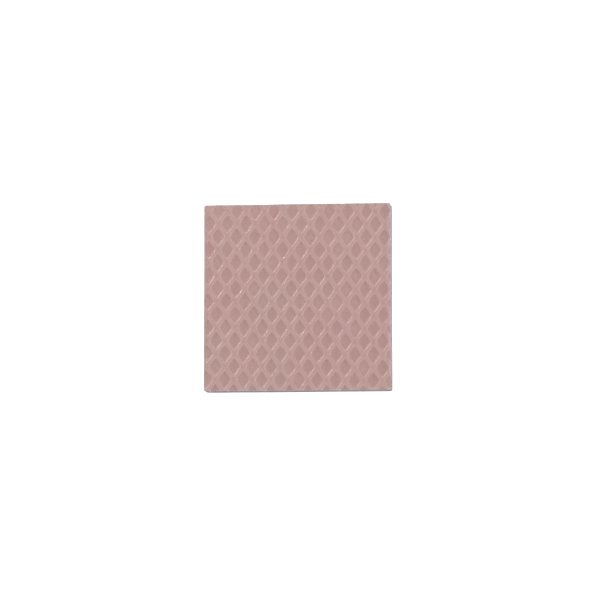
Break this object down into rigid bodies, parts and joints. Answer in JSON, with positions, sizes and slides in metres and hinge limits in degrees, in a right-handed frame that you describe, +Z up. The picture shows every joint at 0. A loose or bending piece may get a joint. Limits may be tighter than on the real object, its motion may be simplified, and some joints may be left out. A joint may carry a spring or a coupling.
{
  "type": "thermal pad sheet",
  "caption": "Square of soft pink thermal pad with a clear release film on top, embossed all over with staggered lozenge pits.",
  "frame": {"origin": "middle of the pad's underside, on the surface that it lies on", "axes": "+X across the square, to the right in the picture; +Y along it, towards the top of the picture; +Z up, out of the film's face"},
  "size_m": [0.0254, 0.0254, 0.0023],
  "materials": {
    "silicone": "matte dusty pink, tacky filled silicone",
    "film": "clear embossed plastic film with soft gloss, which takes its colour from the pad under it"
  },
  "bodies": {
    "root": {"thermal_pad": "silicone", "release_film": "film"}
  },
  "joints": []
}
